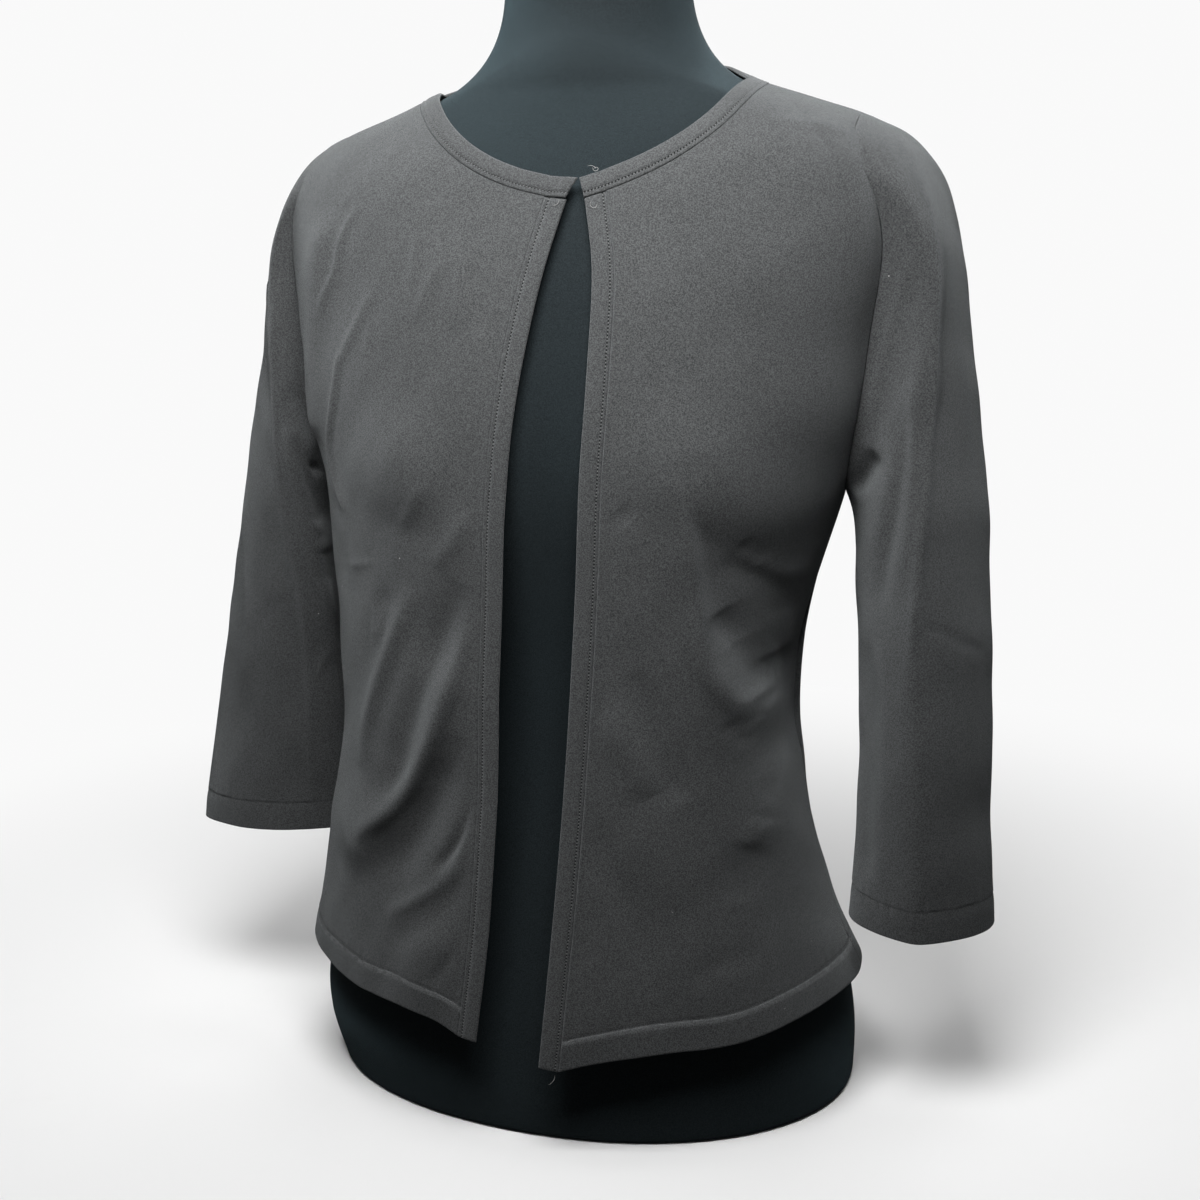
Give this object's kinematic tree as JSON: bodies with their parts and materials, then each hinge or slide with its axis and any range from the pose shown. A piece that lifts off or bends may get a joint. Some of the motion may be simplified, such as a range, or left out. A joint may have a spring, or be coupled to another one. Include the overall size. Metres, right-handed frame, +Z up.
{
  "type": "knit cardigan on a limbless dress form",
  "caption": "Open-front fine-knit cardigan with three-quarter sleeves and narrow sewn-on bands, worn by a limbless dress form that stands on its flat base.",
  "frame": {"origin": "centre of the dress form's flat base", "axes": "+Z up the form, front faces -Y, +X is the wearer's left"},
  "size_m": [0.5294, 0.2836, 0.685],
  "materials": {
    "charcoal_knit": "fine matt knit",
    "charcoal_band": "fine matt knit, topstitched",
    "black_jersey": "matt jersey cover"
  },
  "bodies": {
    "root": {"back_panel": "charcoal_knit", "left_front": "charcoal_knit", "right_front": "charcoal_knit", "left_sleeve": "charcoal_knit", "right_sleeve": "charcoal_knit", "neck_band": "charcoal_band", "left_front_band": "charcoal_band", "right_front_band": "charcoal_band", "dress_form": "black_jersey"}
  },
  "joints": []
}
